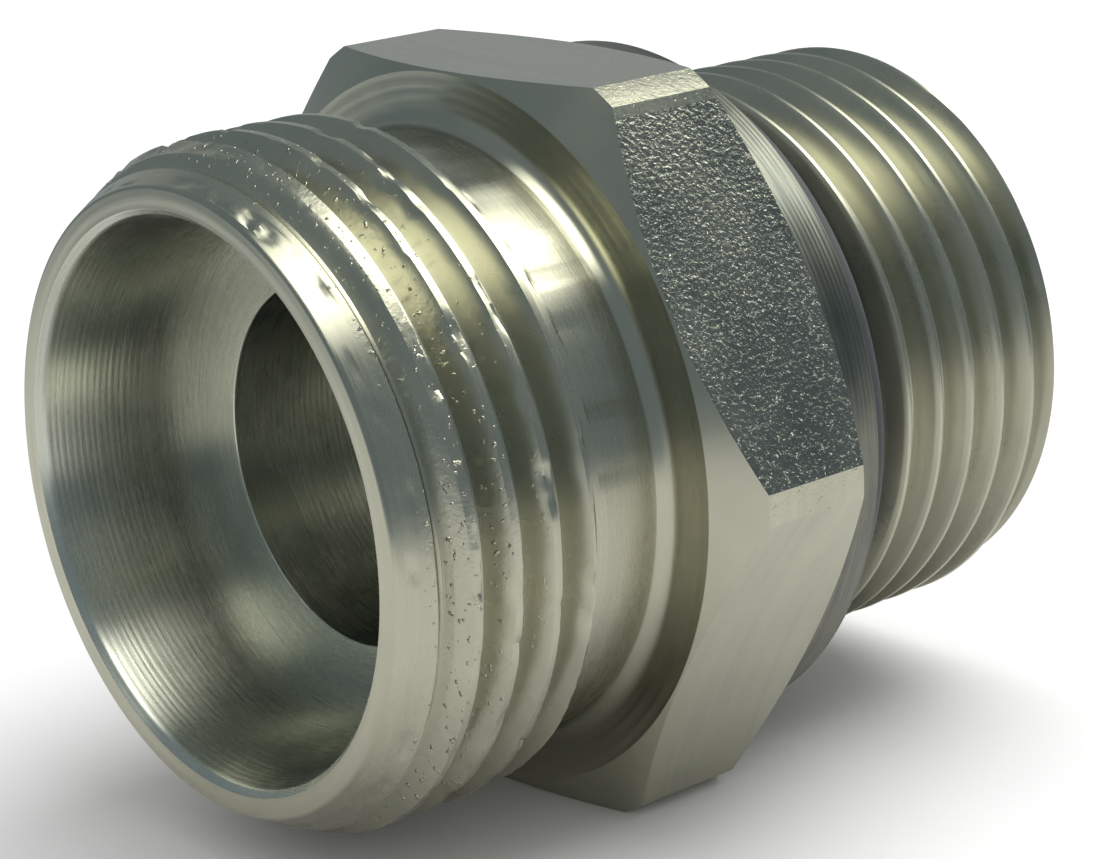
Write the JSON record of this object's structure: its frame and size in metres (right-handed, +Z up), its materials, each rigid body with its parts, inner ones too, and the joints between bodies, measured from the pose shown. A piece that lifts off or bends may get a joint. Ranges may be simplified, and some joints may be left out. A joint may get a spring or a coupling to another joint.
{
  "type": "male stud coupling",
  "caption": "Straight hydraulic tube fitting: a 24 degree cone end with an outside thread, a spanner hexagon, and a threaded stud sealed by a ring in its collar.",
  "frame": {"origin": "on the bore's axis, in the plane of the collar's seat", "axes": "+X along the bore towards the stud's tip, +Z up with the hexagon lying on a flat, +Y across"},
  "size_m": [0.039, 0.0362, 0.032],
  "materials": {
    "plated_steel": "turned steel, zinc plated and passivated, with fine turning marks and a coarse drawn grain on the hexagon",
    "seal_rubber": "matt black elastomer"
  },
  "bodies": {
    "root": {"coupling_body": "plated_steel", "seal_ring": "seal_rubber"}
  },
  "joints": []
}
